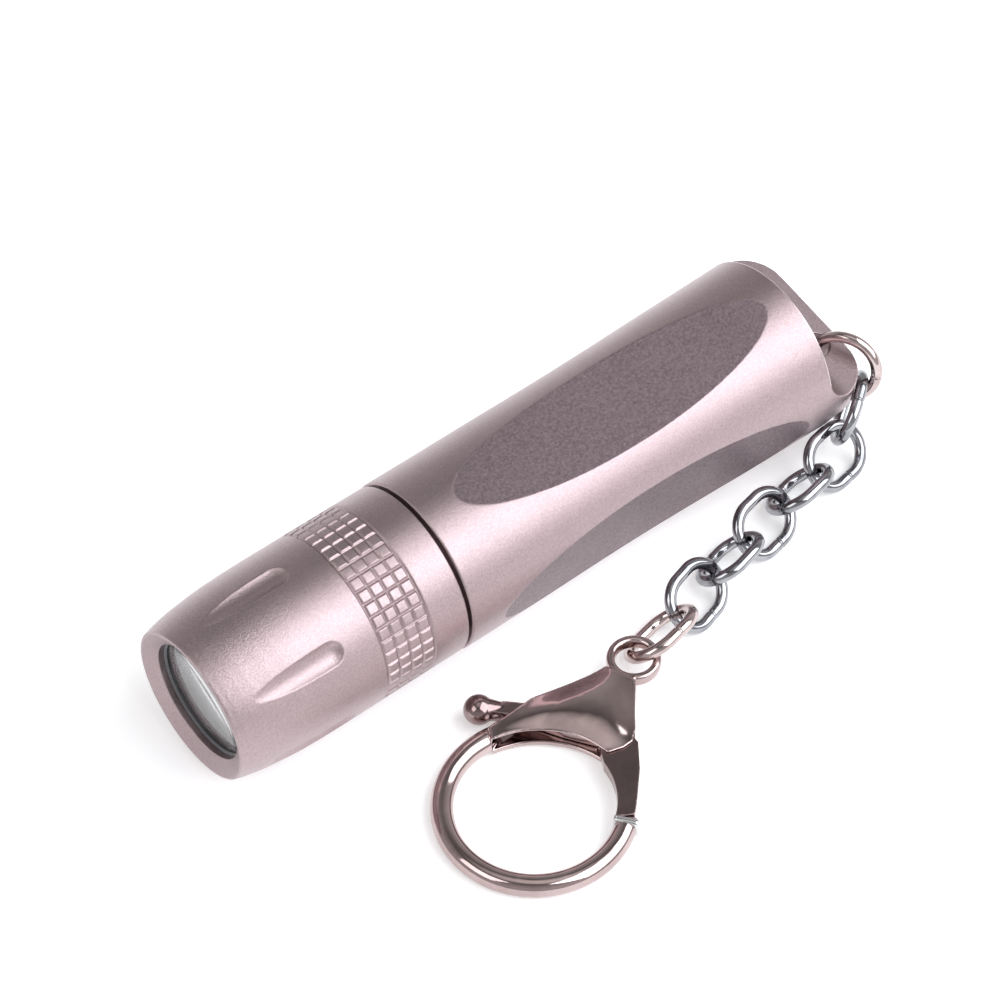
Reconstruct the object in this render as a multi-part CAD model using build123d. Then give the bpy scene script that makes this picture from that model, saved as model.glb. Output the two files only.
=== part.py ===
from build123d import *
import math
import os

# Keychain flashlight for one AA cell, with an oval-link chain and a lobster clasp.
# Millimetres. +Z is up. The light lies on its side, head towards -X, tail towards +X.
# The origin is the middle of the box round the whole object, on the surface it lies on.

# where the joint between head and tube lies on the light's axis, and how the light is rolled
AXIS_X = -14.84
AXIS_Y = 13.785
AXIS_Z = 10.8
ROLL = 10.5

# head
RIM_X = -29.3
RIM_R = 8.9
HEAD_R = 10.16
HEAD_END = -0.2
APERTURE_R = 6.9
APERTURE_X = -28.4
POCKET_X = -27.7
LENS_X = -28.02
LENS_STEP_X = -27.4
LENS_FACE_R = 6.6
LENS_CROWN_R = 35.4
POCKET_R = 8.0
POCKET_END = -12.7
PILL_R = 8.3
THREAD_R = 9.0
THREAD_FRONT = -9.3
LAND_R = 9.15
LAND_FRONT = -3.2
FLUTES = 6
FLUTE_CUTTER_R = 2.36
FLUTE_FLOOR_R = 9.58
FLUTE_REAR = -16.65
FLUTE_START_DEG = 49.5
KNURL_FRONT = -10.95
KNURL_PITCH = 1.53
KNURL_COLUMNS = 4
KNURL_ROWS = 42
KNURL_DEPTH = 0.22
KNURL_WIDTH = 0.42

# body tube
SHOULDER_X = 0.2
TUBE_R = 10.25
TUBE_MID_R = 10.36
TAIL_R = 10.8
TAIL_X = 50.8
BORE_R = 7.45
BORE_END = 48.5
NECK_END = -9.0
NECK_R = 8.88
COLLAR_R = 9.05
COLLAR_X = -0.9
GROOVE_R = 8.0
GROOVE_FRONT = -2.2
COLLAR_FRONT = -2.85
SCOOP_R = 150.0
SCOOP_X = 24.5
SCOOP_FLOOR = 8.917
TAB_END = 57.4
TAB_HALF = 1.7
TAB_FILLET = 3.0
TAB_CORNER = 5.0
LANYARD_X = 54.6
LANYARD_Y = -3.6
LANYARD_R = 1.6

# cell
CELL_R = 7.25
CELL_FRONT = -4.9
CELL_LENGTH = 49.5
NUB_R = 2.75
NUB_LENGTH = 1.0
WRAP = 0.12

# chain: wire radius, inner length and the half width of the wire's centre line
WIRE_R = 0.68
LINK_INNER = 6.5
LINK_HALF_WIDTH = 2.97
ROSE_WIRE_R = 0.70
ROSE_INNER = 7.0
ROSE_HALF_WIDTH = 3.15
LINK_GAP = 0.05
RING_WIRE_R = 0.65
RING_MAJOR_R = 3.9
RING_OFFSET = 3.68
RING_HEADING = 63.06
RING_LEAN = 17.68
# middles of the links that do not simply follow the one before
LINK_MIDDLES = {0: (54.88, -9.66, -4.72), 1: (50.8, -12.06, -7.92), 6: (19.127, -18.991, -7.905)}
# heading in plan, slope, and roll of each link's plane from flat
LINK_LIE = [
    (214.26, -16.83, 110.94),
    (189.93, 0.01, 47.51),
    (190.8, 0.0, -40.0),
    (191.5, 0.0, 47.0),
    (193.5, 0.0, -40.0),
    (195.5, 0.0, 47.0),
    (190.09, -2.05, -42.96),
]

# clasp, in its own frame: centre of the hook's ring, +Y towards the eye, gate on +X
CLASP_HEADING = 20.35
CLASP_TILT = 1.94
CLASP_EYE = (14.62, -19.84)
HOOK_R = 9.8
HOOK_WIRE_R = 1.25
HOOK_LIFT = 0.1
HOOK_CLEAR = 0.005
HOOK_START = 118.0
HOOK_END = 382.0
EYE_X = -0.1
EYE_Y = 21.2
EYE_HOLE_R = 2.05
EYE_R = 3.0
EYE_HALF = 0.78
EYE_Z = -8.95
HOOD_BOTTOM = -10.8
HOOD_TOP = -7.1
CROWN_R = 55.0
SLOT_BOTTOM = -10.1
SLOT_TOP = -8.1
LEVER_GAP = 0.1
PIVOT_X = 2.2
PIVOT_Y = 12.0
RIVET_R = 0.7
RIVET_TOP = -7.65
GATE_REACH = 11.36
GATE_GAP = 0.12
BALL_X = -11.3
BALL_Y = 7.4
BALL_R = 1.7


def turned(line):
    """A solid of revolution about the X axis from a closed outline in X and radius."""
    return revolve(make_face(line), Axis.X)


def tube(x0, x1, r_in, r_out):
    """A plain ring between two stations on the axis."""
    return turned(Polyline((x0, r_in), (x1, r_in), (x1, r_out), (x0, r_out), close=True))


def disc(x0, x1, r):
    """A solid disc between two stations on the axis."""
    return tube(x0, x1, 0, r)


def place_light(shape):
    """From the light's own frame to the part frame."""
    return Pos(AXIS_X, AXIS_Y, AXIS_Z) * Rot(X=ROLL) * shape


def place_chain(shape):
    """From the unrolled frame at the joint, in which the chain is laid out, to the part frame."""
    return Pos(AXIS_X, AXIS_Y, AXIS_Z) * shape


def head_shell():
    """Turned head with a crowned bezel, six flutes and a band of square knurling."""
    front = Polyline((APERTURE_X, APERTURE_R), (RIM_X, RIM_R - 0.32), (RIM_X, RIM_R - 0.1), (RIM_X + 0.1, RIM_R))
    crown = Spline(
        (RIM_X + 0.1, RIM_R),
        (-25.8, 9.62),
        (-21.5, 10.05),
        (-16.0, HEAD_R),
        tangents=((1, 0.33), (1, 0)),
    )
    back = Polyline(
        (-16.0, HEAD_R),
        (HEAD_END - 0.15, HEAD_R),
        (HEAD_END, HEAD_R - 0.15),
        (HEAD_END, LAND_R + 0.15),
        (HEAD_END - 0.15, LAND_R),
        (LAND_FRONT, LAND_R),
        (LAND_FRONT, THREAD_R),
        (THREAD_FRONT, THREAD_R),
        (THREAD_FRONT, PILL_R),
        (POCKET_END, PILL_R),
        (POCKET_END, POCKET_R),
        (POCKET_X, POCKET_R),
        (POCKET_X, APERTURE_R),
        (APERTURE_X, APERTURE_R),
    )
    shell = turned(front + crown + back)
    centre_r = FLUTE_FLOOR_R + FLUTE_CUTTER_R
    cutter = Pos(FLUTE_REAR - 9, centre_r, 0) * Rot(Y=90) * Cylinder(FLUTE_CUTTER_R, 18)
    cutter += Pos(FLUTE_REAR, centre_r, 0) * Sphere(FLUTE_CUTTER_R)
    for k in range(FLUTES):
        shell -= Rot(X=180 - FLUTE_START_DEG + k * 360 / FLUTES) * cutter
    half = KNURL_WIDTH / 2
    for k in range(KNURL_COLUMNS + 1):
        x = KNURL_FRONT + k * KNURL_PITCH
        groove = Polyline(
            (x - half, HEAD_R + 0.01),
            (x, HEAD_R - KNURL_DEPTH),
            (x + half, HEAD_R + 0.01),
            close=True,
        )
        shell -= turned(groove)
    length = KNURL_COLUMNS * KNURL_PITCH
    vee = make_face(
        Polyline(
            (-half, HEAD_R + 0.02),
            (0, HEAD_R - KNURL_DEPTH),
            (half, HEAD_R + 0.02),
            close=True,
        )
    )
    bar = extrude(vee, length)
    bar = Pos(KNURL_FRONT, 0, 0) * Rot(Y=90) * bar
    bars = [Rot(X=(k + 0.5) * 360 / KNURL_ROWS) * bar for k in range(KNURL_ROWS)]
    return shell - bars


def lens():
    """Clear front lens with a shallow crown that stands in the aperture."""
    dome = disc(LENS_X - 1, LENS_STEP_X + 0.3, LENS_FACE_R) & Pos(LENS_X + LENS_CROWN_R, 0, 0) * Sphere(LENS_CROWN_R)
    return disc(LENS_STEP_X, -26.05, 7.85) + dome


def reflector():
    """Bright parabolic cup with a front flange and a hole for the light source."""
    inside = Spline((-25.95, 7.2), (-22.0, 6.05), (-18.0, 4.5), (-15.2, 3.1), (-14.4, 2.6))
    outside = Polyline(
        (-14.4, 2.6),
        (-13.95, 2.6),
        (-13.95, 3.4),
        (-17.6, 5.5),
        (-21.6, 7.0),
        (-24.6, 7.4),
        (-24.6, 7.9),
        (-25.95, 7.9),
        (-25.95, 7.2),
    )
    return turned(inside + outside)


def pill():
    """Heat-sink cup that carries the light source in front and the driver behind."""
    return disc(-12.65, -9.35, PILL_R - 0.05) - disc(-11.2, -9.3, 7.1)


def positive_contact():
    """Brass button that meets the cell's nub."""
    return disc(-9.6, -9.2, 3.0) + disc(-9.2, -5.95, 2.1)


def body_tube():
    """One-piece tube with neck, four scoops, and a flat lanyard tab at the tail."""
    skin = ThreePointArc((SHOULDER_X + 0.15, TUBE_R), (SCOOP_X, TUBE_MID_R), (TAIL_X, TAIL_R))
    rest = Polyline(
        (TAIL_X, TAIL_R),
        (TAB_END, TAIL_R),
        (TAB_END, 0),
        (BORE_END, 0),
        (BORE_END, BORE_R),
        (NECK_END, BORE_R),
        (NECK_END, NECK_R - 0.3),
        (NECK_END + 0.3, NECK_R),
        (COLLAR_FRONT, NECK_R),
        (COLLAR_FRONT, COLLAR_R),
        (GROOVE_FRONT, COLLAR_R),
        (GROOVE_FRONT, GROOVE_R),
        (COLLAR_X, GROOVE_R),
        (COLLAR_X, COLLAR_R),
        (SHOULDER_X, COLLAR_R),
        (SHOULDER_X, TUBE_R - 0.15),
        (SHOULDER_X + 0.15, TUBE_R),
    )
    body = turned(skin + rest)
    scoop = Pos(SCOOP_X, 0, SCOOP_FLOOR + SCOOP_R) * Rot(X=90) * Cylinder(SCOOP_R, 40)
    for k in range(4):
        body -= Rot(X=90 * k) * scoop
    cheek = make_face(
        Polyline(
            (TAB_END + 5, TAB_HALF),
            (TAB_END + 5, 20),
            (TAIL_X, 20),
            (TAIL_X, TAB_HALF + TAB_FILLET),
        )
        + RadiusArc((TAIL_X, TAB_HALF + TAB_FILLET), (TAIL_X + TAB_FILLET, TAB_HALF), -TAB_FILLET)
        + Line((TAIL_X + TAB_FILLET, TAB_HALF), (TAB_END + 5, TAB_HALF))
    )
    cheek = Rot(X=90) * extrude(cheek, 30, both=True)
    body -= [cheek, Rot(X=180) * cheek]
    corner = TAIL_R - TAB_CORNER
    nib = Pos(TAB_END - TAB_CORNER + 5, corner + 5, 0) * Box(10, 10, 12)
    nib -= Pos(TAB_END - TAB_CORNER, corner, 0) * Cylinder(TAB_CORNER, 14)
    body -= [nib, Rot(X=180) * nib]
    return body - Pos(LANYARD_X, LANYARD_Y, 0) * Cylinder(LANYARD_R, 10)


def tail_spring():
    """Conical contact spring, pressed to its working height."""
    height = 2.8
    wire = 0.35
    path = Helix(pitch=1.05, height=height, radius=3.2, cone_angle=-35)
    wirelet = Plane(path @ 0, z_dir=path % 0) * Circle(wire)
    spring = sweep(wirelet, path=path, is_frenet=True)
    return Pos(BORE_END - 0.35 - height - wire, 0, 0) * Rot(Y=90) * spring


def oval(wire_r, inner, half_width):
    """One oval chain link, long along X, lying in the XY plane."""
    run = inner / 2 + wire_r - half_width
    end = revolve(Plane.XZ * Pos(half_width, 0) * Circle(wire_r), Axis.Z, 180)
    end = Rot(Z=-90) * end
    side = Rot(Y=90) * Cylinder(wire_r, 2 * run)
    link = Pos(run, 0, 0) * end + Pos(-run, 0, 0) * Rot(Z=180) * end
    return link + Pos(0, half_width, 0) * side + Pos(0, -half_width, 0) * side


def ring_frame():
    """Centre and normal of the ring in the lanyard hole, in the chain's frame."""
    roll = math.radians(ROLL)
    across = Vector(0, -math.cos(roll), -math.sin(roll))
    up = Vector(0, -math.sin(roll), math.cos(roll))
    a = math.radians(RING_HEADING)
    out = Vector(1, 0, 0) * math.cos(a) + across * math.sin(a)
    side = Vector(1, 0, 0) * math.sin(a) - across * math.cos(a)
    lean = math.radians(RING_LEAN)
    normal = side * math.cos(lean) - up * math.sin(lean)
    hole = Vector(LANYARD_X, 0, 0) + across * -LANYARD_Y
    return hole + out * RING_OFFSET, normal


def link_frames():
    """A Location for each link, from the ring to the clasp."""
    frames = []
    for k, (heading, slope, roll) in enumerate(LINK_LIE):
        h, s = math.radians(heading), math.radians(slope)
        along = Vector(math.cos(h) * math.cos(s), math.sin(h) * math.cos(s), math.sin(s))
        level = Vector(-math.sin(h), math.cos(h), 0)
        r = math.radians(roll)
        face = along.cross(level) * math.cos(r) + level * math.sin(r)
        if k in LINK_MIDDLES:
            middle = Vector(*LINK_MIDDLES[k])
        else:
            middle = seat + along * (LINK_INNER / 2 - WIRE_R - LINK_GAP)
        frames.append(Location(Plane(origin=middle, x_dir=along, z_dir=face)))
        seat = middle + along * (LINK_INNER / 2 + WIRE_R)
    return frames


def clasp_place(shape):
    """From the clasp's own frame to the part frame: the hook rests flat and the eye is held up a little."""
    turn = math.radians(CLASP_HEADING)
    right = Vector(math.sin(turn), -math.cos(turn), 0)
    ahead = Vector(math.cos(turn), math.sin(turn), 0)
    origin = Vector(CLASP_EYE[0], CLASP_EYE[1], 0) - right * EYE_X - ahead * EYE_Y
    lift = HOOK_R * math.sin(math.radians(CLASP_TILT)) - HOOK_LIFT + HOOK_CLEAR
    level = Pos(0, 0, HOOD_BOTTOM + lift) * Rot(X=CLASP_TILT) * Pos(0, 0, -HOOD_BOTTOM) * shape
    return place_chain(Pos(origin.X, origin.Y, 0) * Rot(Z=CLASP_HEADING - 90) * level)


def slab(outline, z0, z1):
    """A flat plate of a closed outline between two heights."""
    return Pos(0, 0, z0) * extrude(make_face(outline), z1 - z0)


def on_hook(angle, r):
    """A point in plan at an angle and radius about the hook's centre."""
    return (r * math.cos(math.radians(angle)), r * math.sin(math.radians(angle)))


def clasp_body():
    """Die-cast hook, hood and eye in one piece, slotted for the lever."""
    hook_z = HOOD_BOTTOM + HOOK_LIFT + HOOK_WIRE_R
    hook = revolve(Plane.XZ * Pos(HOOK_R, 0) * Circle(HOOK_WIRE_R), Axis.Z, HOOK_END - HOOK_START)
    hook = Pos(0, 0, hook_z) * Rot(Z=HOOK_START) * hook
    inner = HOOK_R - HOOK_WIRE_R + 0.1
    left = on_hook(152, inner)
    tip = on_hook(67, inner + 0.9)
    outer = Polyline(
        tip,
        (4.9, 10.3),
        (5.3, 11.4),
        (4.8, 12.9),
        (3.4, 15.3),
        (1.75, 18.4),
        (-2.0, 18.4),
        (-2.9, 16.6),
        (-4.7, 13.7),
        (-6.7, 10.7),
        on_hook(136, HOOK_R + HOOK_WIRE_R - 0.15),
        on_hook(149, HOOK_R + 0.6),
        left,
    )
    lip = ThreePointArc(left, on_hook(112, inner), tip)
    hood = slab(outer + lip, HOOD_BOTTOM, HOOD_TOP)
    crown = Pos(-2.0, 11.5, HOOD_TOP + 0.02 - CROWN_R) * Sphere(CROWN_R)
    hood &= crown
    eye = Pos(EYE_X, EYE_Y, EYE_Z) * (Cylinder(EYE_R, 2 * EYE_HALF) - Cylinder(EYE_HOLE_R, 4))
    eye = fillet(eye.edges().filter_by(GeomType.CIRCLE), 0.42)
    neck = slab(
        Polyline((-1.9, 18.0), (1.7, 18.0), (1.35, 18.65), (-1.6, 18.65), close=True),
        EYE_Z - EYE_HALF,
        EYE_Z + EYE_HALF,
    )
    body = hook + hood + eye + (neck - Pos(EYE_X, EYE_Y, EYE_Z) * Cylinder(EYE_HOLE_R, 4))
    room = Polyline(
        (-16, 6.0),
        (-16, 17.5),
        (-6.4, 14.9),
        (-3.4, 14.3),
        (0.2, 14.1),
        (PIVOT_X, PIVOT_Y + 2.1),
        (3.6, 13.6),
        (4.25, 12.85),
        (9, 12.85),
        (9, 2),
        (6, 0),
        on_hook(152, 5.0),
        on_hook(152, inner + 0.2),
        on_hook(143, inner + 1.2),
        close=True,
    )
    body -= slab(room, SLOT_BOTTOM, SLOT_TOP)
    reach = Pos(PIVOT_X, PIVOT_Y, 0) * Cylinder(GATE_REACH + GATE_GAP, 40)
    gate_side = Pos(9.5, 6.2, HOOD_BOTTOM) * Box(6, 12, 12)
    body -= reach & gate_side
    return body - Pos(PIVOT_X, PIVOT_Y, RIVET_TOP - 5) * Cylinder(RIVET_R, 10)


def clasp_lever():
    """One-piece thumb lever: ball end, arm, hub on the rivet, and the gate."""
    inner = HOOK_R - HOOK_WIRE_R + 0.05
    z0 = SLOT_BOTTOM + LEVER_GAP
    z1 = SLOT_TOP - LEVER_GAP
    gate = slab(
        Polyline(
            (3.9, 12.55),
            (5.75, 11.8),
            (7.55, 8.95),
            (9.35, 5.1),
            (10.1, 3.2),
            (10.3, 1.5),
            on_hook(8, inner),
        )
        + ThreePointArc(on_hook(8, inner), on_hook(36, inner), on_hook(63, inner))
        + Polyline(on_hook(63, inner), (1.6, 10.2), (3.9, 12.55)),
        z0,
        z1,
    )
    hub = Pos(PIVOT_X, PIVOT_Y, (z0 + z1) / 2) * Cylinder(1.9, z1 - z0)
    arm = slab(
        Polyline(
            (PIVOT_X + 0.3, PIVOT_Y + 1.85),
            (-2.5, 11.3),
            (-7.2, 10.1),
            (-9.4, 9.15),
            (-9.9, 7.2),
            (-7.9, 8.0),
            (-4.5, 8.85),
            (-2.0, 9.2),
            (PIVOT_X, PIVOT_Y - 1.85),
            close=True,
        ),
        z0,
        z1,
    )
    waist = math.radians(48)
    meet = (BALL_R * math.cos(waist), BALL_R * math.sin(waist))
    outline = ThreePointArc((-BALL_R, 0), (0, BALL_R), meet) + Polyline(meet, (2.8, 0.86), (2.8, 0), (-BALL_R, 0))
    toward_hub = Plane(origin=(BALL_X, BALL_Y, (z0 + z1) / 2), x_dir=(2.6, 1.35, 0), z_dir=(0, 0, 1))
    ball = toward_hub.location * turned(outline)
    gate &= Pos(PIVOT_X, PIVOT_Y, 0) * Cylinder(GATE_REACH, 40)
    lever = gate + hub + arm - Pos(PIVOT_X, PIVOT_Y, (z0 + z1) / 2) * Cylinder(RIVET_R + 0.06, 8)
    return lever + ball


def clasp_rivet():
    """Pin pressed in from below through the lever, ending inside the hood."""
    length = RIVET_TOP - HOOD_BOTTOM - 0.15
    return Pos(PIVOT_X, PIVOT_Y, RIVET_TOP - length / 2) * Cylinder(RIVET_R, length)


def clasp_spring():
    """Small coil spring between the lever's arm and the hood, which closes the gate."""
    height = 2.0
    path = Helix(pitch=0.5, height=height, radius=0.62)
    wirelet = Plane(path @ 0, z_dir=path % 0) * Circle(0.14)
    coil = sweep(wirelet, path=path, is_frenet=True)
    return Pos(-2.2, 11.95, (SLOT_BOTTOM + SLOT_TOP) / 2) * Rot(X=-90) * coil


def build():
    """Every piece in the part frame, by name."""
    cell_end = CELL_FRONT + CELL_LENGTH
    wrap = tube(CELL_FRONT, cell_end, CELL_R - WRAP, CELL_R)
    wrap += tube(CELL_FRONT, CELL_FRONT + WRAP, 6.3, CELL_R) + tube(cell_end - WRAP, cell_end, 6.0, CELL_R)
    light = {
        "head_shell": head_shell(),
        "lens": lens(),
        "lens_gasket": tube(-27.66, -27.42, 6.72, 7.9),
        "reflector": reflector(),
        "led_board": disc(-13.9, -12.7, 7.4),
        "led_package": Pos(-14.25, 0, 0) * Box(0.7, 3.4, 3.4),
        "led_dome": Pos(-14.6, 0, 0) * Sphere(1.35) & Pos(-15.6, 0, 0) * Box(2.0, 4, 4),
        "pill": pill(),
        "driver_board": disc(-10.7, -9.6, 7.05),
        "positive_contact": positive_contact(),
        "insulating_ring": tube(-9.6, -6.6, 3.2, 6.8),
        "body_tube": body_tube(),
        "neck_oring": Pos((GROOVE_FRONT + COLLAR_X) / 2, 0, 0) * Rot(Y=90) * Torus(GROOVE_R + 0.56, 0.56),
        "tail_contact": disc(BORE_END - 0.35, BORE_END, 7.2),
        "tail_spring": tail_spring(),
        "cell_can": disc(CELL_FRONT + WRAP, cell_end - WRAP, CELL_R - WRAP),
        "cell_wrap": wrap,
        "cell_washer": tube(CELL_FRONT, CELL_FRONT + WRAP, NUB_R + 0.5, 6.2),
        "cell_nub": disc(CELL_FRONT - NUB_LENGTH, CELL_FRONT + WRAP, NUB_R),
    }
    parts = {name: place_light(shape) for name, shape in light.items()}
    centre, normal = ring_frame()
    ring = Location(Plane(origin=centre, z_dir=normal)) * Torus(RING_MAJOR_R, RING_WIRE_R)
    parts["tail_ring"] = place_chain(ring)
    frames = link_frames()
    for k, frame in enumerate(frames[:-1]):
        parts[f"link_{k + 1}"] = place_chain(frame * oval(WIRE_R, LINK_INNER, LINK_HALF_WIDTH))
    parts["clasp_link"] = place_chain(frames[-1] * oval(ROSE_WIRE_R, ROSE_INNER, ROSE_HALF_WIDTH))
    for make in (clasp_body, clasp_lever, clasp_rivet, clasp_spring):
        parts[make.__name__] = clasp_place(make())
    return parts


if __name__ == "__main__":
    os.makedirs("parts", exist_ok=True)
    for name, shape in build().items():
        solids = shape.solids()
        if len(solids) == 1:
            shape = solids[0]
        export_step(shape, f"parts/{name}.step")
        box = shape.bounding_box()
        print(f"{name:18s} solids {len(solids)} volume {shape.volume:9.2f} valid {shape.is_valid}", box.min, box.max)
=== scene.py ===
import math

import bmesh
import bpy
import numpy as np
from mathutils import Matrix, Vector

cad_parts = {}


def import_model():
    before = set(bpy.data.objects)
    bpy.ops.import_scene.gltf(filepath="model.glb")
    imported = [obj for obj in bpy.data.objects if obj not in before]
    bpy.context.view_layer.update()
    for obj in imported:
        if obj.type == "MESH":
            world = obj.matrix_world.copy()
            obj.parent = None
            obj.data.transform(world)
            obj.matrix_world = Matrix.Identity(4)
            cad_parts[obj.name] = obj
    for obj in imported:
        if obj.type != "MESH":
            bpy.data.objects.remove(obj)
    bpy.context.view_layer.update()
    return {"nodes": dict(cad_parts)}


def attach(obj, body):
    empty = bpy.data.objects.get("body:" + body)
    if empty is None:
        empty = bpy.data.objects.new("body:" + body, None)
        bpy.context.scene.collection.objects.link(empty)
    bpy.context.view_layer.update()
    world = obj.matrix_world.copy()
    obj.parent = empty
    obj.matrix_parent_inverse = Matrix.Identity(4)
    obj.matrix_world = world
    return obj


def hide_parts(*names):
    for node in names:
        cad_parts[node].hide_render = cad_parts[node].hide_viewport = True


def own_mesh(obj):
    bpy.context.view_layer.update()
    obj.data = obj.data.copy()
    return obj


# Keychain flashlight: looks. Lengths in this file are millimetres until a mesh is made.
MM = 0.001
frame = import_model()

AXIS = Vector((-14.84, 13.785, 10.8))
ROLL = math.radians(10.5)
LIGHT = Matrix.Translation(AXIS) @ Matrix.Rotation(ROLL, 4, "X")
JOINT = Matrix.Translation(AXIS)

HEAD_R = 10.16
FLUTES, FLUTE_START, FLUTE_REAR = 6, math.radians(130.5), -16.65
FLUTE_FLOOR_R, FLUTE_CUTTER_R = 9.58, 2.36
KNURL_FRONT, KNURL_PITCH, KNURL_COLUMNS, KNURL_ROWS = -10.95, 1.53, 4, 42
SCOOP_R, SCOOP_X, SCOOP_FLOOR = 150.0, 24.5, 8.917
NECK_R, THREAD_PITCH, THREAD_DEPTH = 8.88, 1.0, 0.34
TAIL_X, TAIL_R = 50.8, 10.8


# ---------------------------------------------------------------- camera, lights, floor
def camera():
    data = bpy.data.cameras.new("camera")
    data.sensor_width = 36.0
    data.lens = 134.0
    data.clip_start = 0.01
    data.clip_end = 50.0
    cam = bpy.data.objects.new("camera", data)
    bpy.context.scene.collection.objects.link(cam)
    right = Vector((0.7776, -0.6288, 0.0))
    back = Vector((-0.4027, -0.4980, 0.7680)).normalized()
    up = back.cross(right).normalized()
    right = up.cross(back)
    place = Matrix((right, up, back)).transposed().to_4x4()
    place.translation = (Vector((-149.643, -200.009, 310.729)) + AXIS) * MM
    cam.matrix_world = place
    bpy.context.scene.camera = cam


def softbox(name, spot, target, size, watts, colour=(1.0, 1.0, 1.0)):
    data = bpy.data.lights.new(name, "AREA")
    data.shape = "RECTANGLE"
    data.size, data.size_y = size
    data.energy = watts
    data.color = colour
    lamp = bpy.data.objects.new(name, data)
    bpy.context.scene.collection.objects.link(lamp)
    lamp.location = spot
    aim = Vector(target) - Vector(spot)
    lamp.rotation_euler = aim.to_track_quat("-Z", "Y").to_euler()


def world():
    w = bpy.data.worlds.new("studio")
    bpy.context.scene.world = w
    w.use_nodes = True
    tree = w.node_tree
    shade = tree.nodes["Background"]
    coord = tree.nodes.new("ShaderNodeTexCoord")
    split = tree.nodes.new("ShaderNodeSeparateXYZ")
    ramp = tree.nodes.new("ShaderNodeValToRGB")
    # grey by height of the direction: the horizon, half way up, high, straight up
    for spot, grey in ((0.50, 0.62), (0.72, 0.58), (0.83, 0.44), (0.89, 0.36), (0.95, 0.15), (1.0, 0.03)):
        stop = ramp.color_ramp.elements.new(spot)
        stop.color = (grey, grey * 0.985, grey, 1)
    ramp.color_ramp.elements.remove(ramp.color_ramp.elements[0])
    ramp.color_ramp.elements.remove(ramp.color_ramp.elements[-1])
    height = tree.nodes.new("ShaderNodeMapRange")
    height.inputs["From Min"].default_value = -1.0
    height.inputs["From Max"].default_value = 1.0
    tree.links.new(coord.outputs["Generated"], split.inputs[0])
    tree.links.new(split.outputs["Z"], height.inputs["Value"])
    tree.links.new(height.outputs["Result"], ramp.inputs[0])
    tree.links.new(ramp.outputs[0], shade.inputs["Color"])
    shade.inputs["Strength"].default_value = 1.0
    # the photograph's white backdrop needs a plain transform: the default one greys it
    bpy.context.scene.view_settings.view_transform = "Standard"


# ---------------------------------------------------------------- materials
def nodes_of(name):
    m = bpy.data.materials.new(name)
    m.use_nodes = True
    tree = m.node_tree
    return m, tree, tree.nodes["Principled BSDF"]


def noise(tree, scale, detail=4.0, rough=0.55, stretch=None):
    coord = tree.nodes.new("ShaderNodeTexCoord")
    tex = tree.nodes.new("ShaderNodeTexNoise")
    tex.inputs["Scale"].default_value = scale
    tex.inputs["Detail"].default_value = detail
    tex.inputs["Roughness"].default_value = rough
    if stretch:
        mapping = tree.nodes.new("ShaderNodeMapping")
        mapping.inputs["Scale"].default_value = stretch
        tree.links.new(coord.outputs["Object"], mapping.inputs["Vector"])
        tree.links.new(mapping.outputs["Vector"], tex.inputs["Vector"])
    else:
        tree.links.new(coord.outputs["Object"], tex.inputs["Vector"])
    return tex.outputs["Fac"]


def remap(tree, value, low, high, lo_in=0.3, hi_in=0.7):
    node = tree.nodes.new("ShaderNodeMapRange")
    node.inputs["From Min"].default_value = lo_in
    node.inputs["From Max"].default_value = hi_in
    node.inputs["To Min"].default_value = low
    node.inputs["To Max"].default_value = high
    tree.links.new(value, node.inputs["Value"])
    return node.outputs["Result"]


def tint(tree, value, dark, light):
    node = tree.nodes.new("ShaderNodeValToRGB")
    node.color_ramp.elements[0].position = 0.3
    node.color_ramp.elements[1].position = 0.7
    node.color_ramp.elements[0].color = (*dark, 1)
    node.color_ramp.elements[1].color = (*light, 1)
    tree.links.new(value, node.inputs[0])
    return node.outputs[0]


def bump(tree, shader, layers):
    """layers: (height output, strength, distance in metres), chained."""
    normal = None
    for height, strength, distance in layers:
        node = tree.nodes.new("ShaderNodeBump")
        node.inputs["Strength"].default_value = strength
        node.inputs["Distance"].default_value = distance
        tree.links.new(height, node.inputs["Height"])
        if normal:
            tree.links.new(normal, node.inputs["Normal"])
        normal = node.outputs["Normal"]
    tree.links.new(normal, shader.inputs["Normal"])


def metal(name, dark, light, rough, grain, strength, patch=300.0, streak=None):
    """Metal with a fine grain in its bump, broad colour variation and uneven gloss."""
    m, tree, shader = nodes_of(name)
    shader.inputs["Metallic"].default_value = 1.0
    broad = noise(tree, patch, 3.0)
    fine = noise(tree, grain, 3.0, 0.6, streak)
    tree.links.new(tint(tree, broad, dark, light), shader.inputs["Base Color"])
    tree.links.new(remap(tree, fine, rough * 0.92, rough * 1.08), shader.inputs["Roughness"])
    bump(tree, shader, [(fine, strength, 0.00002)])
    return m


def speckled(name, dark, light, rough, grain, strength):
    """Coarse blasted metal: light and dark grains in colour as well as in bump."""
    m, tree, shader = nodes_of(name)
    shader.inputs["Metallic"].default_value = 1.0
    grit = noise(tree, grain, 6.0, 0.75)
    broad = noise(tree, 160.0, 2.0)
    tree.links.new(tint(tree, grit, dark, light), shader.inputs["Base Color"])
    tree.links.new(remap(tree, broad, rough * 0.92, rough * 1.06), shader.inputs["Roughness"])
    bump(tree, shader, [(grit, strength, 0.00006)])
    return m


def plastic(name, dark, light, rough, grain=1500.0, strength=0.15):
    m, tree, shader = nodes_of(name)
    fine = noise(tree, grain)
    broad = noise(tree, 250.0, 2.0)
    tree.links.new(tint(tree, broad, dark, light), shader.inputs["Base Color"])
    tree.links.new(remap(tree, fine, rough * 0.9, rough * 1.1), shader.inputs["Roughness"])
    bump(tree, shader, [(fine, strength, 0.00003)])
    return m


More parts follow.
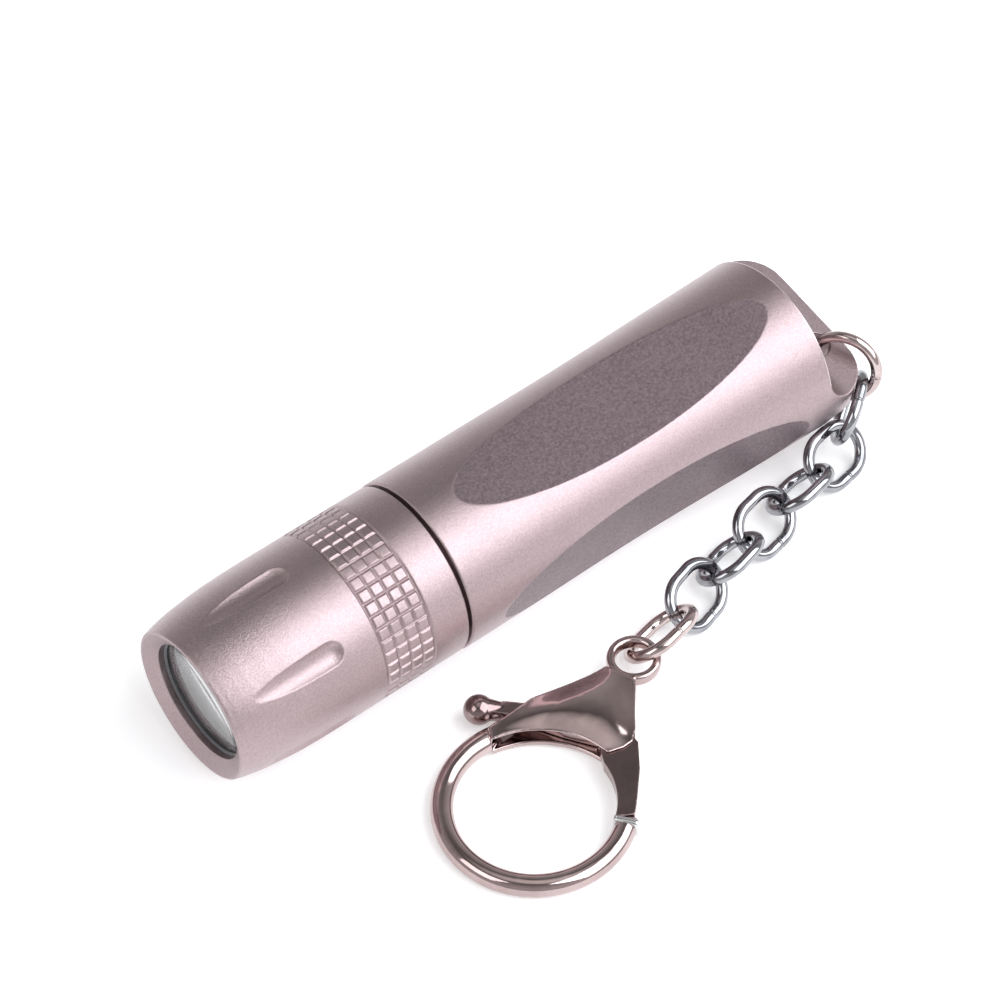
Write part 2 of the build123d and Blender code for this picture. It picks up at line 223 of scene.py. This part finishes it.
def clear(name, colour, rough, ior, haze=900.0):
    m, tree, shader = nodes_of(name)
    shader.inputs["Transmission Weight"].default_value = 1.0
    shader.inputs["IOR"].default_value = ior
    shader.inputs["Specular IOR Level"].default_value = 0.2
    smear = noise(tree, haze, 2.0)
    pale = tuple(min(1.0, c * 1.03) for c in colour)
    tree.links.new(tint(tree, smear, colour, pale), shader.inputs["Base Color"])
    tree.links.new(remap(tree, smear, rough, rough * 2.5), shader.inputs["Roughness"])
    return m


def mirror(name, colour, rough):
    m, tree, shader = nodes_of(name)
    shader.inputs["Metallic"].default_value = 1.0
    peel = noise(tree, 350.0, 2.0)
    tree.links.new(tint(tree, peel, tuple(c * 0.94 for c in colour), colour), shader.inputs["Base Color"])
    tree.links.new(remap(tree, peel, rough * 0.7, rough * 1.4), shader.inputs["Roughness"])
    bump(tree, shader, [(peel, 0.04, 0.0001)])
    return m


SHELL = speckled("anodised_shell", (0.31, 0.243, 0.250), (0.46, 0.36, 0.372), 0.33, 4300.0, 0.8)
# the tail shoulder's rounded edge: a lighter copy of the shell colour, a painted highlight
EDGE_HIGHLIGHT = metal("shoulder_edge_painted_highlight", (0.70, 0.60, 0.61), (0.80, 0.71, 0.72), 0.22, 3000.0, 0.15)
# the scoops: blasted grain and a rougher gloss, with a base colour darker than the shell's, which is painted
# shade
SCOOP = speckled("blasted_scoop_painted_shade", (0.13, 0.10, 0.107), (0.32, 0.248, 0.265), 0.43, 3000.0, 0.7)
NICKEL = metal("nickel_wire", (0.22, 0.22, 0.235), (0.40, 0.40, 0.42), 0.07, 1800.0, 0.12, 450.0)
ROSE = metal("rose_wire", (0.42, 0.335, 0.325), (0.62, 0.52, 0.50), 0.10, 1800.0, 0.12, 450.0)
CAST = metal("clasp_cast", (0.38, 0.29, 0.28), (0.54, 0.43, 0.42), 0.09, 900.0, 0.10, 220.0)
LEVER = metal("clasp_lever", (0.26, 0.19, 0.185), (0.36, 0.27, 0.265), 0.13, 1100.0, 0.15, 260.0)
STEEL = metal("bright_steel", (0.55, 0.55, 0.55), (0.68, 0.68, 0.68), 0.2, 2500.0, 0.2)
CAN = metal("cell_can", (0.50, 0.50, 0.51), (0.60, 0.60, 0.61), 0.3, 1800.0, 0.25, 200.0, (0.1, 1, 1))
BRASS = metal("gold_contact", (0.66, 0.48, 0.18), (0.78, 0.60, 0.26), 0.22, 2500.0, 0.2)
TURNED = metal(
    "turned_aluminium", (0.62, 0.63, 0.64), (0.72, 0.73, 0.74),
    0.28, 2200.0, 0.5, 200.0, (4, 0.2, 0.2),
)
GASKET = plastic("grey_silicone", (0.20, 0.20, 0.215), (0.26, 0.26, 0.275), 0.4, 2600.0, 0.2)
RUBBER = plastic("black_rubber", (0.012, 0.012, 0.012), (0.03, 0.03, 0.03), 0.5, 2600.0, 0.3)
GREEN = plastic("solder_mask", (0.02, 0.12, 0.06), (0.03, 0.17, 0.09), 0.35)
WHITE = plastic("white_board", (0.72, 0.72, 0.70), (0.80, 0.80, 0.78), 0.4)
CERAMIC = plastic("led_ceramic", (0.70, 0.68, 0.60), (0.80, 0.78, 0.70), 0.35)
BLACK = plastic("black_moulding", (0.02, 0.02, 0.02), (0.04, 0.04, 0.04), 0.45)
SLEEVE = plastic("cell_sleeve", (0.03, 0.035, 0.045), (0.05, 0.055, 0.07), 0.22, 600.0, 0.1)
FIBRE = plastic("fibre_washer", (0.60, 0.57, 0.50), (0.72, 0.69, 0.62), 0.7, 2200.0, 0.5)
# the reflector: base colour far darker than bright aluminium, painted shade for the dim inside of the head
MIRROR = mirror("reflector_bright", (0.09, 0.087, 0.098), 0.16)
GLASS = clear("lens_clear", (0.95, 0.97, 0.98), 0.01, 1.49)
PHOSPHOR = plastic("led_phosphor", (0.80, 0.62, 0.10), (0.88, 0.72, 0.18), 0.25, 2400.0, 0.2)


# ---------------------------------------------------------------- mesh helpers
def piece(name, verts, faces, place, body, node, mats, face_mats=None, sharp=38.0):
    """A finished mesh from vertices in millimetres, placed in the part frame, standing for a CAD node."""
    mesh = bpy.data.meshes.new(name)
    v = np.asarray(verts, float)
    m = np.array(place, float)
    v = (v @ m[:3, :3].T + m[:3, 3]) * MM
    mesh.from_pydata([tuple(p) for p in v.tolist()], [], faces)
    for mat in mats:
        mesh.materials.append(mat)
    mesh.validate()
    if face_mats is not None and len(face_mats) == len(mesh.polygons):
        mesh.polygons.foreach_set("material_index", np.asarray(face_mats, np.int32))
    mesh.polygons.foreach_set("use_smooth", np.ones(len(mesh.polygons), bool))
    mesh.update()
    fix = bmesh.new()
    fix.from_mesh(mesh)
    bmesh.ops.recalc_face_normals(fix, faces=fix.faces)
    fix.to_mesh(mesh)
    fix.free()
    if sharp:
        mesh.set_sharp_from_angle(angle=math.radians(sharp))
    ob = bpy.data.objects.new(name, mesh)
    bpy.context.scene.collection.objects.link(ob)
    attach(ob, body)
    if node:
        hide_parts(node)
    return ob


def grid(rings, closed_loop):
    """Vertices and faces of stacked rings, each an (n, 3) array; closed_loop joins last to first."""
    n = len(rings[0])
    verts = np.concatenate(rings)
    i = np.arange(n)
    j = (i + 1) % n
    faces = []
    count = len(rings)
    last = count if closed_loop else count - 1
    for k in range(last):
        a = k * n
        b = ((k + 1) % count) * n
        faces.append(np.stack([a + i, a + j, b + j, b + i], 1))
    return verts, np.concatenate(faces).tolist()


def lathe(profile, shape=None, n=256, closed_loop=True):
    """Rings about X from (x, r) stations; shape(x, r, angle) may lower the radius."""
    t = np.arange(n) * 2 * math.pi / n
    rings = []
    for x, r in profile:
        rr = np.full(n, r) if shape is None else shape(x, r, t)
        rings.append(np.stack([np.full(n, x), rr * np.cos(t), rr * np.sin(t)], 1))
    return grid(rings, closed_loop)


def soft_min(a, b, k):
    h = np.clip(0.5 + 0.5 * (b - a) / k, 0, 1)
    return b * (1 - h) + a * h - k * h * (1 - h)


def rounded(points, radius, steps=5):
    """An open outline with each inner corner rounded."""
    out = [points[0]]
    for a, b, c in zip(points, points[1:], points[2:]):
        a, b, c = Vector(a), Vector(b), Vector(c)
        back, ahead = a - b, c - b
        cut = min(radius, back.length * 0.45, ahead.length * 0.45)
        p, q = b + back.normalized() * cut, b + ahead.normalized() * cut
        for k in range(steps + 1):
            s = k / steps
            out.append(tuple((1 - s) ** 2 * p + 2 * s * (1 - s) * b + s * s * q))
    out.append(points[-1])
    return out


def stations(x0, x1, step):
    return np.linspace(x0, x1, max(2, int(abs(x1 - x0) / step) + 1)).tolist()


# ---------------------------------------------------------------- the light
def head():
    crown = [
        (-29.2, 8.9), (-28.2, 9.17), (-27.0, 9.42), (-25.8, 9.62),
        (-23.6, 9.87), (-21.5, 10.04), (-19.0, 10.13), (-16.0, HEAD_R),
    ]
    cx, cr = zip(*crown)
    groove_x = [KNURL_FRONT + KNURL_PITCH * k for k in range(KNURL_COLUMNS + 1)]
    half, depth = 0.23, 0.24

    def outer(x):
        return float(np.interp(x, cx, cr)) if x < -16 else HEAD_R

    def shape(x, r, t):
        if r < 8.85 or x > -0.3:
            return np.full(len(t), r)
        rr = np.full(len(t), r)
        # flutes: a round cutter along the axis, with a ball end at the rear
        if x < -14:
            for k in range(FLUTES):
                d = (t - FLUTE_START - k * math.pi / 3 + math.pi) % (2 * math.pi) - math.pi
                ball = max(0.0, x - FLUTE_REAR)
                c = FLUTE_CUTTER_R**2 - ball**2
                if c <= 0:
                    continue
                centre = FLUTE_FLOOR_R + FLUTE_CUTTER_R
                inside = c - (centre * np.sin(d)) ** 2
                deep = centre * np.cos(d) - np.sqrt(np.maximum(inside, 0))
                cut = np.where((inside > 0) & (np.abs(d) < 0.6), deep, 99.0)
                rr = np.minimum(rr, np.where(cut < 99, soft_min(rr, cut, 0.05), rr))
        if -11.2 < x < -4.5:
            cut_x = max(0.0, max(1 - abs(x - g) / half for g in groove_x)) * depth
            cut_t = np.zeros(len(t))
            if -10.95 <= x <= -4.83:
                pitch = 2 * math.pi / KNURL_ROWS
                off = np.abs((t / pitch) % 1.0 - 0.5) * pitch * r
                cut_t = np.clip(1 - off / half, 0, 1) * depth
            rr = rr - np.maximum(cut_x, cut_t)
        return rr

    bezel = [
        (-24.0, 8.0), (-27.7, 8.0), (-27.7, 6.9), (-28.4, 6.9),
        (-29.3, 8.58), (-29.3, 8.8), (-29.2, 8.9), (-28.9, 8.99),
    ]
    skin = stations(-28.8, -17.5, 0.16) + stations(-17.4, -14.2, 0.09) + stations(-14.0, -11.3, 0.3)
    skin += stations(-11.2, -4.55, 0.065) + stations(-4.3, -0.9, 0.5)
    mouth = [
        (-0.7, HEAD_R), (-0.35, HEAD_R), (-0.2, 10.0), (-0.2, 9.3),
        (-0.35, 9.15), (-3.2, 9.15), (-3.2, 9.0), (-9.3, 9.0),
    ]
    rows = rounded(bezel, 0.07, 3) + [(x, outer(x)) for x in skin] + rounded(mouth, 0.06, 3)
    rows += [(-9.3, 8.3), (-12.7, 8.3), (-12.7, 8.0)]
    verts, faces = lathe(rows, shape, 1008)
    piece("head_skin", verts, faces, LIGHT, "head", "head_shell", [SHELL], sharp=None)


def scoop_radius(x, t):
    """Radius at which the nearest of the four scoops cuts the tube."""
    h = SCOOP_FLOOR + SCOOP_R - math.sqrt(SCOOP_R**2 - (x - SCOOP_X) ** 2)
    d = (t + math.pi / 4) % (math.pi / 2) - math.pi / 4
    return h / np.cos(d)


def tube():
    def skin_r(x):
        return float(np.interp(x, [0.35, 12.0, SCOOP_X, 37.0, TAIL_X], [10.25, 10.27, 10.36, 10.54, TAIL_R]))

    def shape(x, r, t):
        if -8.7 < x < -2.95 and 8.7 < r < 9.0:
            phase = (x / THREAD_PITCH - t / (2 * math.pi)) % 1.0
            tooth = np.clip(1.35 - np.abs(phase - 0.5) * 4, 0, 1)
            fade = min(1.0, (-2.95 - x) / 0.8, (x + 8.7) / 0.5)
            return r - THREAD_DEPTH * tooth * fade
        if 3.0 < x < 49.5 and r > 10.0:
            return soft_min(np.full(len(t), r), scoop_radius(x, t), 0.035)
        if x > 50.5 and r > 10.5:
            return np.where(on_tab(t), TAIL_R, r)
        return np.full(len(t), r)

    def on_tab(t):
        return np.abs(TAIL_R * np.sin(t)) < 4.6

    rows = rounded([(-8.7, 7.45), (-9.0, 7.6), (-9.0, 8.58), (-8.7, NECK_R), (-8.55, NECK_R)], 0.06, 2)
    rows += [(x, NECK_R) for x in stations(-8.5, -2.9, 0.06)]
    collar = [
        (-2.87, NECK_R), (-2.85, 9.05), (-2.2, 9.05), (-2.2, 8.0), (-0.9, 8.0),
        (-0.9, 9.05), (0.2, 9.05), (0.2, 10.1), (0.35, 10.25), (0.6, 10.25),
    ]
    rows += rounded(collar, 0.05, 3)
    body = stations(0.7, 3.0, 0.4) + stations(3.2, 49.4, 0.16) + stations(49.6, 50.45, 0.2)
    rows += [(x, skin_r(x)) for x in body]
    rows += rounded([(50.5, TAIL_R), (TAIL_X, TAIL_R), (TAIL_X, 10.4)], 0.16, 5)
    edge_from = len(rows) - 7
    rows += [(TAIL_X, 10.0), (TAIL_X, 6.0), (TAIL_X, 2.0), (50.7, 0.4), (48.5, 0.4), (48.5, 7.45)]
    n = 960
    verts, faces = lathe(rows, shape, n)
    t = np.arange(n) * 2 * math.pi / n
    mats = np.zeros(len(faces), np.int32)
    for k in range(len(rows)):
        x, r = rows[k]
        # faces inside a scoop take the scoop colour, partly painted shade
        if 3.0 < x < 49.5 and r > 10.0:
            mats[k * n : (k + 1) * n] = (scoop_radius(x, t + math.pi / n) < r - 0.02).astype(np.int32)
        # the shoulder's rounded edge, except across the tab, takes the painted highlight colour
        if edge_from <= k < edge_from + 6:
            mats[k * n : (k + 1) * n] = np.where(on_tab(t), 0, 2)
    looks = [SHELL, SCOOP, EDGE_HIGHLIGHT]
    piece("tube_skin", verts, faces, LIGHT, "tube", "body_tube", looks, mats, sharp=None)
    tab()


def copy_of(node, name):
    """A free copy of a CAD node's mesh, for refining."""
    mesh = frame["nodes"][node].data.copy()
    mesh.name = name
    ob = bpy.data.objects.new(name, mesh)
    bpy.context.scene.collection.objects.link(ob)
    return ob


def refine(ob, voxel, passes, factor=0.5):
    """Rounds every edge a little, as casting and tumbling do: even voxels, then smoothing, applied."""
    re = ob.modifiers.new("re", "REMESH")
    re.mode = "VOXEL"
    re.voxel_size = voxel * MM
    re.use_smooth_shade = True
    sm = ob.modifiers.new("sm", "SMOOTH")
    sm.factor = factor
    sm.iterations = passes
    deps = bpy.context.evaluated_depsgraph_get()
    done = bpy.data.meshes.new_from_object(ob.evaluated_get(deps))
    ob.modifiers.clear()
    ob.data = done
    return ob


def dress(ob, body, node, mats):
    ob.data.materials.clear()
    for m in mats:
        ob.data.materials.append(m)
    ob.data.polygons.foreach_set("use_smooth", np.ones(len(ob.data.polygons), bool))
    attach(ob, body)
    if node:
        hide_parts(node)


def tab():
    """The lanyard tab: the tail end of the tube beyond its shoulder, edges broken."""
    ob = copy_of("body_tube", "lanyard_tab")
    work = bmesh.new()
    work.from_mesh(ob.data)
    cut = (AXIS.x + 50.6) * MM
    bmesh.ops.remove_doubles(work, verts=work.verts, dist=1e-7)
    geom = work.verts[:] + work.edges[:] + work.faces[:]
    got = bmesh.ops.bisect_plane(work, geom=geom, plane_co=(cut, 0, 0), plane_no=(-1, 0, 0), clear_outer=True)
    rim = [e for e in got["geom_cut"] if isinstance(e, bmesh.types.BMEdge)]
    bmesh.ops.holes_fill(work, edges=rim, sides=0)
    bmesh.ops.recalc_face_normals(work, faces=work.faces)
    work.to_mesh(ob.data)
    work.free()
    refine(ob, 0.07, 5)
    low = (AXIS.x + 50.79) * MM
    keep = bmesh.new()
    keep.from_mesh(ob.data)
    geom = keep.verts[:] + keep.edges[:] + keep.faces[:]
    bmesh.ops.bisect_plane(keep, geom=geom, plane_co=(low, 0, 0), plane_no=(-1, 0, 0), clear_outer=True)
    keep.to_mesh(ob.data)
    keep.free()
    dress(ob, "tube", None, [SHELL])


def front():
    r0 = 35.4
    dome = [(-28.02 + r0 - math.sqrt(r0 * r0 - r * r), r) for r in np.linspace(6.55, 0.02, 24)]
    rows = [
        (-26.05, 0.02), (-26.05, 4.0), (-26.05, 7.7), (-26.1, 7.82), (-26.2, 7.85),
        (-27.3, 7.85), (-27.38, 7.8), (-27.4, 7.7), (-27.4, 6.7),
    ]
    verts, faces = lathe(rows + dome, None, 192)
    piece("front_lens", verts, faces, LIGHT, "head", "lens", [GLASS], sharp=40)
    inside = [
        (-25.95, 7.2), (-24.0, 6.68), (-22.0, 6.05), (-20.0, 5.33),
        (-18.0, 4.5), (-16.5, 3.78), (-15.2, 3.1), (-14.4, 2.6),
    ]
    xs = np.linspace(-25.95, -14.4, 60)
    px, pr = zip(*inside)
    co = np.polyfit(px, pr, 3)
    fine = [(x, float(np.polyval(co, x))) for x in xs]
    outside = [
        (-13.95, 2.6), (-13.95, 3.4), (-17.6, 5.5), (-21.6, 7.0),
        (-24.6, 7.4), (-24.6, 7.9), (-25.95, 7.9),
    ]
    verts, faces = lathe(fine + outside, None, 192)
    piece("reflector_cup", verts, faces, LIGHT, "head", "reflector", [MIRROR], sharp=35)


# ---------------------------------------------------------------- chain
LINK_INNER, LINK_WIRE, LINK_HALF, LINK_GAP = 6.5, 0.68, 2.97, 0.05
ROSE_INNER, ROSE_WIRE, ROSE_HALF = 7.0, 0.70, 3.15
# where links lie: those in LINK_MIDDLES were fitted to the photograph with their wires kept clear,
# and the others follow the link before them
LINK_MIDDLES = {0: (54.88, -9.66, -4.72), 1: (50.8, -12.06, -7.92), 6: (19.127, -18.991, -7.905)}
LINK_LIE = [
    (214.26, -16.83, 110.94),
    (189.93, 0.01, 47.51),
    (190.8, 0.0, -40.0),
    (191.5, 0.0, 47.0),
    (193.5, 0.0, -40.0),
    (195.5, 0.0, 47.0),
    (190.09, -2.05, -42.96),
]


def wire_loop(half_len, half_wide, wire, seam_at, segments=220):
    """A closed oval of wire with a butt joint, long along X."""
    run = half_len - half_wide
    lap = 2 * math.pi * half_wide + 4 * run
    path, tang, radii = [], [], []
    for k in range(segments):
        s = k / segments * lap
        if s < 2 * run:
            p, d = (-run + s, -half_wide, 0), (1, 0, 0)
        elif s < 2 * run + math.pi * half_wide:
            a = (s - 2 * run) / half_wide - math.pi / 2
            p = (run + half_wide * math.cos(a), half_wide * math.sin(a), 0)
            d = (-math.sin(a), math.cos(a), 0)
        elif s < 4 * run + math.pi * half_wide:
            u = s - 2 * run - math.pi * half_wide
            p, d = (run - u, half_wide, 0), (-1, 0, 0)
        else:
            a = (s - 4 * run - math.pi * half_wide) / half_wide + math.pi / 2
            p = (-run + half_wide * math.cos(a), half_wide * math.sin(a), 0)
            d = (-math.sin(a), math.cos(a), 0)
        gap = abs((s / lap - seam_at + 0.5) % 1.0 - 0.5) * lap
        path.append(p)
        tang.append(d)
        radii.append(wire * (1 - 0.22 * math.exp(-((gap / 0.09) ** 2))))
    t = np.arange(28) * 2 * math.pi / 28
    rings = []
    for p, d, r in zip(path, tang, radii):
        side = np.array((d[1], -d[0], 0.0))
        ring = np.cos(t)[:, None] * side + np.sin(t)[:, None] * np.array((0, 0, 1.0))
        rings.append(np.array(p) + r * ring)
    return grid(rings, True)


def frame_of(middle, along, face):
    across = face.cross(along).normalized()
    m = Matrix((along, across, face)).transposed().to_4x4()
    m.translation = middle
    return JOINT @ m


def chain():
    seat = None
    for k, (heading, slope, roll) in enumerate(LINK_LIE):
        h, s, r = math.radians(heading), math.radians(slope), math.radians(roll)
        along = Vector((math.cos(h) * math.cos(s), math.sin(h) * math.cos(s), math.sin(s)))
        level = Vector((-math.sin(h), math.cos(h), 0))
        face = along.cross(level) * math.cos(r) + level * math.sin(r)
        if k in LINK_MIDDLES:
            middle = Vector(LINK_MIDDLES[k])
        else:
            middle = seat + along * (LINK_INNER / 2 - LINK_WIRE - LINK_GAP)
        seat = middle + along * (LINK_INNER / 2 + LINK_WIRE)
        if k < 6:
            verts, faces = wire_loop(LINK_INNER / 2 + LINK_WIRE, LINK_HALF, LINK_WIRE, 0.05 + 0.5 * (k % 2))
            name = f"link_{k + 1}"
            there = frame_of(middle, along, face)
            piece(f"wire_{name}", verts, faces, there, name, name, [NICKEL], sharp=None)
        else:
            verts, faces = wire_loop(ROSE_INNER / 2 + ROSE_WIRE, ROSE_HALF, ROSE_WIRE, 0.55)
            there = frame_of(middle, along, face)
            name = "clasp_link"
            piece("wire_clasp_link", verts, faces, there, name, name, [ROSE], sharp=None)
    across = Vector((0, -math.cos(ROLL), -math.sin(ROLL)))
    up = Vector((0, -math.sin(ROLL), math.cos(ROLL)))
    a, lean = math.radians(63.06), math.radians(17.68)
    out = Vector((1, 0, 0)) * math.cos(a) + across * math.sin(a)
    side = Vector((1, 0, 0)) * math.sin(a) - across * math.cos(a)
    normal = side * math.cos(lean) - up * math.sin(lean)
    middle = Vector((54.6, 0, 0)) + across * 3.6 + out * 3.68
    verts, faces = wire_loop(3.9, 3.9, 0.65, 0.22, 260)
    there = frame_of(middle, out, normal)
    piece("wire_tail_ring", verts, faces, there, "ring", "tail_ring", [ROSE], sharp=None)


# ---------------------------------------------------------------- clasp
HOOK_R, HOOK_WIRE = 9.8, 1.25
CLASP_TILT = math.radians(1.94)
SLOT_TOP = -8.1
HOOD_EDGE = [
    (-2.0, 18.4), (-2.9, 16.6), (-4.7, 13.7), (-6.7, 10.7), (-7.93, 7.66), (-8.91, 5.36),
    (-7.64, 4.06), (-5.66, 6.55), (-3.24, 8.02), (-0.46, 8.64), (2.1, 8.9), (3.73, 8.79),
    (4.9, 10.3), (5.3, 11.4), (4.8, 12.9), (3.4, 15.3), (1.75, 18.4),
]


def clasp_frame():
    turn = math.radians(20.35)
    right = Vector((math.sin(turn), -math.cos(turn), 0))
    ahead = Vector((math.cos(turn), math.sin(turn), 0))
    origin = Vector((14.62, -19.84, 0)) + right * 0.1 - ahead * 21.2
    lift = HOOK_R * math.sin(CLASP_TILT) - 0.095
    flat = Matrix.Translation(origin) @ Matrix.Rotation(turn - math.pi / 2, 4, "Z")
    tilt = Matrix.Rotation(CLASP_TILT, 4, "X")
    lean = Matrix.Translation((0, 0, lift - 10.8)) @ tilt @ Matrix.Translation((0, 0, 10.8))
    return JOINT @ flat @ lean


def dome(ob, place):
    """Rolls the hood's top partly down towards its outline, leaving the slot under it open."""
    count = len(ob.data.vertices)
    v = np.empty(count * 3)
    ob.data.vertices.foreach_get("co", v)
    m = np.array(place)
    v = (v.reshape(-1, 3) / MM - m[:3, 3]) @ m[:3, :3]
    inner = np.hypot(v[:, 0], v[:, 1]) > HOOK_R - HOOK_WIRE - 0.15
    high = (v[:, 2] > SLOT_TOP) & (v[:, 1] < 18.4) & inner
    # distance to the outline, softened so that it has no ridges: closeness added up along it
    soft, step = 0.8, 0.2
    along = np.zeros(int(high.sum()))
    for a, b in zip(HOOD_EDGE, HOOD_EDGE[1:]):
        a, b = np.array(a), np.array(b)
        length = np.hypot(*(b - a))
        bits = max(1, round(length / step))
        for k in range(bits):
            spot = a + (b - a) * (k + 0.5) / bits
            along += np.exp(-np.hypot(*(v[high, :2] - spot).T) / soft) * length / bits
    gap = -soft * np.log(along / (2 * soft) + 1e-9)
    edge = 1 - np.clip(gap / 2.8, 0, 1)
    roll = np.interp(v[high, 0], (-8.0, -4.0), (0.2, 0.72)) * edge**2.3
    v[high, 2] = SLOT_TOP + (v[high, 2] - SLOT_TOP) * (1 - roll)
    v = (v @ m[:3, :3].T + m[:3, 3]) * MM
    ob.data.vertices.foreach_set("co", v.ravel())
    ob.data.update()


def catch(place):
    """The small bright block at the hook's end that the gate shuts against."""
    work = bmesh.new()
    bmesh.ops.create_cube(work, size=1.0)
    bmesh.ops.scale(work, vec=(2.74, 0.82, 2.5), verts=work.verts)
    bmesh.ops.bevel(work, geom=work.edges[:], offset=0.3, segments=4, profile=0.5, affect="EDGES")
    top = max(work.faces, key=lambda f: f.calc_center_median().z * 10 + f.calc_area())
    bmesh.ops.inset_individual(work, faces=[top], thickness=0.1, depth=-0.07)
    turn = math.radians(15.2)
    spot = Vector((HOOK_R * math.cos(turn), HOOK_R * math.sin(turn), -9.33))
    verts = [tuple(p.co) for p in work.verts]
    faces = [[c.index for c in f.verts] for f in work.faces]
    work.free()
    there = place @ Matrix.Translation(spot) @ Matrix.Rotation(turn, 4, "Z")
    piece("clasp_catch", verts, faces, there, "clasp", None, [STEEL], sharp=30)


def clasp():
    place = clasp_frame()
    ob = copy_of("clasp_body", "clasp_casting")
    refine(ob, 0.09, 5)
    dome(ob, place)
    refine(ob, 0.09, 9)
    dress(ob, "clasp", "clasp_body", [CAST])
    catch(place)
    ob = copy_of("clasp_spring", "gate_spring")
    dress(ob, "clasp", "clasp_spring", [STEEL])
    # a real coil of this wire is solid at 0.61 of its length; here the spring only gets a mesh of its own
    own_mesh(ob)
    ob = copy_of("clasp_lever", "clasp_thumb_lever")
    refine(ob, 0.07, 7)
    dress(ob, "lever", "clasp_lever", [LEVER])


def dress_cad():
    looks = {
        "lens_gasket": GASKET, "led_board": WHITE, "led_package": CERAMIC, "led_dome": PHOSPHOR, "pill": TURNED,
        "driver_board": GREEN, "positive_contact": BRASS, "insulating_ring": BLACK, "neck_oring": RUBBER,
        "tail_contact": BRASS, "tail_spring": STEEL, "cell_can": CAN, "cell_wrap": SLEEVE, "cell_washer": FIBRE,
        "cell_nub": CAN, "clasp_rivet": LEVER,
    }
    for name, mat in looks.items():
        ob = frame["nodes"][name]
        if not ob.data.materials:
            ob.data.materials.append(mat)
        for k in range(len(ob.data.materials)):
            ob.data.materials[k] = mat


def floor():
    mesh = bpy.data.meshes.new("table")
    mesh.from_pydata([(-3, -3, 0), (3, -3, 0), (3, 3, 0), (-3, 3, 0)], [], [(0, 1, 2, 3)])
    m, tree, shader = nodes_of("table_white")
    shader.inputs["Roughness"].default_value = 0.6
    weave = noise(tree, 900.0)
    tree.links.new(tint(tree, weave, (0.90, 0.90, 0.905), (0.93, 0.93, 0.935)), shader.inputs["Base Color"])
    shader.inputs["Emission Color"].default_value = (1.0, 1.0, 1.0, 1.0)
    shader.inputs["Emission Strength"].default_value = 0.33
    mesh.materials.append(m)
    ob = bpy.data.objects.new("table", mesh)
    bpy.context.scene.collection.objects.link(ob)


camera()
world()
softbox("right_box", (0.444, -0.61, 0.81), (0, 0, 0.01), (1.3, 1.15), 16.5, (0.97, 1.0, 1.04))
softbox("end_fill", (-0.79, 0.09, 0.76), (0, 0, 0.01), (0.6, 0.6), 2.6)
floor()
head()
tube()
front()
chain()
clasp()
dress_cad()
